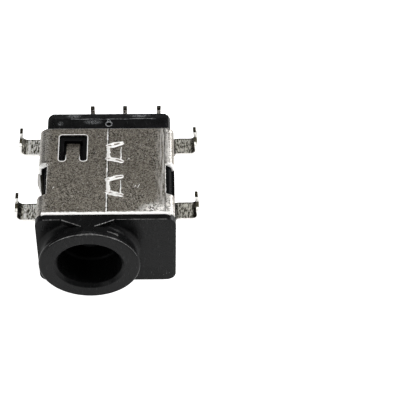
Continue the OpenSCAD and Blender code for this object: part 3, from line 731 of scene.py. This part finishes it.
SLOT_MIDDLE = MIDDLE - 3.25
SLOT_HALF = 1.39
SLOT_REAR = REAR - 0.78
SLOT_FRONT = SLOT_REAR - 3.44
SLOT_REACH = 0.65
slot_half = ((-SLOT_REACH, SLOT_FRONT + 0.9), (-SLOT_REACH, SLOT_FRONT), (-SLOT_HALF, SLOT_FRONT),
             (-SLOT_HALF, SLOT_REAR))
slot_corners = [(SLOT_MIDDLE + across, along, TOP) for across, along in slot_half]
slot_corners += [(SLOT_MIDDLE - across, along, TOP) for across, along in reversed(slot_half)]
metal_bead("latch_slot_lip", round_corners(slot_corners, 0.36), 0.045, 0.025)
WINDOW_FRONT = FRONT + 2.41
WINDOW_REAR = WINDOW_FRONT + 3.8
WINDOW_REACH = 5.62
SHEET_BEND = 0.75
WALL_FACE = 6.5
for side, hand in ((-1, "left"), (1, "right")):
    inner = MIDDLE + side * WINDOW_REACH
    inner_edge = line((inner, WINDOW_FRONT + 0.1, TOP), (inner, WINDOW_REAR - 0.1, TOP), 60)
    thin = 0.012 + (0.035 if side > 0 else 0.008) * smooth_noise(60, 80 + side, 20)
    metal_bead(hand + "_window_inner_lip", inner_edge, thin, 0.02)
    turn = np.linspace(0, np.pi / 2, 16)
    normals = np.stack([side * np.sin(turn), 0 * turn, np.cos(turn)], 1)
    middle_sheet = SHEET_BEND - 0.12
    bend_centre = np.array([MIDDLE + side * (WALL_FACE - SHEET_BEND), WINDOW_REAR, TOP - SHEET_BEND])
    over = bend_centre + middle_sheet * normals
    before = line((inner - side * 0.05, WINDOW_REAR - 0.12, TOP - 0.03),
                  over[0] - np.array([side * 0.05, 0, 0]), 5)
    after = line(over[-1] - np.array([0, 0, 0.05]), over[-1] - np.array([0, 0, 0.85]), 4)
    outs = np.concatenate([np.tile(normals[0], (5, 1)), normals, np.tile(normals[-1], (4, 1))]) * 0.7
    outs[:, 1] = -0.714
    broad = np.interp(np.arange(25), [0, 5, 10, 24], [0.07, 0.15, 0.22, 0.18])
    metal_bead(hand + "_window_rear_lip", np.concatenate([before, over, after]),
               broad * (0.8 + 0.4 * smooth_noise(25, 85 + side, 7)), 0.08, outs)
burr_height = np.linspace(3.3, 0.25, 24)
burr_reach = np.interp(burr_height, [0.25, 0.85, 1.4, 1.8, 3.3], [0.04, 0.09, 0.13, 0.14, 0.09])
burr_side = MIDDLE - WALL_FACE + 0.06 - burr_reach
burr_path = np.stack([burr_side, np.full(24, WINDOW_REAR - 0.03), burr_height], 1)
burr_width = burr_reach * (1.1 + 0.3 * smooth_noise(24, 88, 8))
window_burr = metal_bead("left_window_rear_burr", burr_path, burr_width, 0.04, (-0.3, -0.95, 0.1))
# Painted shade along one side of the burr.
mark_painted_shade(window_burr, np.tile([1, 1, 1, 0.4, 0, 0, 0, 0, 0], 24))
SCRATCHES = (((4.55, 5.75), (4.8, 6.25)), ((-3.45, 5.75), (-3.3, 6.0)), ((3.6, 9.35), (3.78, 9.5)),
             ((4.3, 5.85), (4.42, 6.1)))
for place, (start, end) in enumerate(SCRATCHES):
    scratch = line((*start, TOP), (*end, TOP), 12)
    scratch[:, 0] += 0.03 * smooth_noise(12, 200 + place, 3)
    metal_bead(f"scratch_{place}", scratch, 0.028, 0.01)


# ---- Contacts ----
# Three strips stamped from brass and plated with tin before they were cut, so their edges
# show a little of the brown metal.

STRIP_MIDDLES = (0.0, 3.25, 6.65)
FAR_OFF = 9.0


def tinned_strip():
    """Bright tin, dulled in patches, with brown metal on the sheared sides. The tails' front faces carry a
    painted highlight and their tops painted shade, and the strips are darker from the shelf's height down."""
    material, tree, shader, position = new_material("tinned_strip")
    shader.inputs["Metallic"].default_value = 1
    mottle = effect(tree, GRAIN, position, size=0.22, contrast=4)
    drift = effect(tree, GRAIN, position, size=0.8, contrast=6)
    place = axes(tree, position)
    facing = facing_axes(tree)
    height = place["Z"]
    base = blend_colours(tree, mottle, (0.34, 0.31, 0.27, 1), (0.72, 0.70, 0.66, 1))
    # Darker in a band at the shelf's height and, in patches, below it.
    nick = overlap(tree, remap(tree, height, -1.15, -1.0), remap(tree, height, -0.85, -0.95))
    below = overlap(tree, remap(tree, height, -1.0, -1.3), remap(tree, mottle, 0.2, 0.8))
    base = blend_colours(tree, either(tree, nick, below), base, (0.10, 0.085, 0.06, 1))
    from_strip = FAR_OFF
    for middle in STRIP_MIDDLES:
        from_strip = combine(tree, "MINIMUM", from_strip, distance(tree, place["X"], middle))
    sheared = overlap(tree, remap(tree, from_strip, 0.06, 0.14), remap(tree, drift, 0, 1, 0.5, 1))
    base = blend_colours(tree, sheared, base, (0.13, 0.105, 0.075, 1))
    sideways = remap(tree, distance(tree, facing["X"]), 0.6, 0.9)
    tint = overlap(tree, sideways, remap(tree, drift, 0, 1, 0.25, 0.8))
    base = blend_colours(tree, tint, base, (0.34, 0.26, 0.18, 1))
    # Painted highlight on the tails' front faces, and painted shade on their tops.
    front_highlight = overlap(tree, remap(tree, facing["Y"], -0.3, -0.6), remap(tree, height, 1.25, 1.5))
    base = blend_colours(tree, front_highlight, base, (0.95, 0.94, 0.92, 1))
    cap_shade = overlap(tree, remap(tree, facing["Z"], 0.3, 0.5), remap(tree, height, 2.2, 2.35))
    tree.links.new(blend_colours(tree, cap_shade, base, (0.03, 0.028, 0.022, 1)), shader.inputs["Base Color"])
    tree.links.new(remap(tree, drift, 0, 1, 0.2, 0.36), shader.inputs["Roughness"])
    bump(tree, shader, mottle, 0.005)
    return material


tin = tinned_strip()
for strip in ("centre_contact", "sleeve_contact", "switch_contact"):
    finish(rounded_copy(merged_shape(strip), strip + "_strip", strip, 0.05, 40), tin)


# ---- Studio ----
# A white sweep under and round the jack, soft boxes above, beside, behind and low in front of
# it, and the camera. The plain display transform shows the sweep as paper white and keeps the
# outlines of the thin legs and tails against it.

bpy.context.scene.view_settings.view_transform = "Standard"


def glowing(tree, seen, lit):
    """White that the eye sees at one strength and the jack is lit by at another."""
    eye = shader_node(tree, "LightPath").outputs["Is Camera Ray"]
    return remap(tree, eye, 0, 1, lit, seen)


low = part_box("shield")[0][2]
floor_mesh = bpy.data.meshes.new("floor")
half = 400 * MM
floor_mesh.from_pydata([(-half, -half, low), (half, -half, low), (half, half, low), (-half, half, low)],
                       [], [(0, 1, 2, 3)])
floor = bpy.data.objects.new("floor", floor_mesh)
bpy.context.scene.collection.objects.link(floor)
paper, tree, shader, position = new_material("white_sweep")
shader.inputs["Base Color"].default_value = (0.8, 0.8, 0.8, 1)
shader.inputs["Roughness"].default_value = 1
shader.inputs["Specular IOR Level"].default_value = 0
shader.inputs["Emission Color"].default_value = (1, 1, 1, 1)
tree.links.new(glowing(tree, 1.15, 0.82), shader.inputs["Emission Strength"])
floor_mesh.materials.append(paper)

world = bpy.data.worlds.new("studio")
world.use_nodes = True
sky = world.node_tree.nodes["Background"]
sky.inputs["Color"].default_value = (1, 1, 1, 1)
world.node_tree.links.new(glowing(world.node_tree, 1.15, 0.16), sky.inputs["Strength"])
bpy.context.scene.world = world


def area_light(name, place, aim, size, power):
    """A square soft light at place in mm, turned to aim."""
    data = bpy.data.lights.new(name, "AREA")
    data.shape = "SQUARE"
    data.size = size * MM
    data.energy = power
    lamp = bpy.data.objects.new(name, data)
    lamp.location = Vector(place) * MM
    lamp.rotation_mode = "QUATERNION"
    lamp.rotation_quaternion = (Vector(aim) * MM - lamp.location).to_track_quat("-Z", "Y")
    bpy.context.scene.collection.objects.link(lamp)


area_light("overhead", (20, 4, 240), (2, 8, 0), 80, 0.19)
area_light("spark", (30, 45, 230), (2, 8, 0), 18, 0.10)
area_light("side", (210, -10, 110), (2, 8, 0), 70, 0.2)
area_light("right_rear", (150, 135, 32), (2, 8, 0), 70, 0.145)
area_light("low_rear", (-20, 230, 30), (2, 8, 0), 60, 0.1)
area_light("low_front", (-120, -165, 50), (2, 8, 0), 60, 0.06)

lens = bpy.data.cameras.new("camera")
lens.lens = 136.24
lens.clip_start = 5 * MM
lens.clip_end = 3
camera = bpy.data.objects.new("camera", lens)
bpy.context.scene.collection.objects.link(camera)
CAMERA_PLACE = Vector((6.74, -87.1, 113.22))
CAMERA_AIM = Vector((10.6, 8.05, 0))
CAMERA_ROLL = -1.29
look = (CAMERA_AIM - CAMERA_PLACE).normalized()
across = look.cross(Vector((0, 0, 1))).normalized()
rise = across.cross(look)
turn = math.radians(CAMERA_ROLL)
right = across * math.cos(turn) - rise * math.sin(turn)
over = across * math.sin(turn) + rise * math.cos(turn)
camera.matrix_world = Matrix((
    (right.x, over.x, -look.x, CAMERA_PLACE.x * MM),
    (right.y, over.y, -look.y, CAMERA_PLACE.y * MM),
    (right.z, over.z, -look.z, CAMERA_PLACE.z * MM),
    (0, 0, 0, 1)))
bpy.context.scene.camera = camera
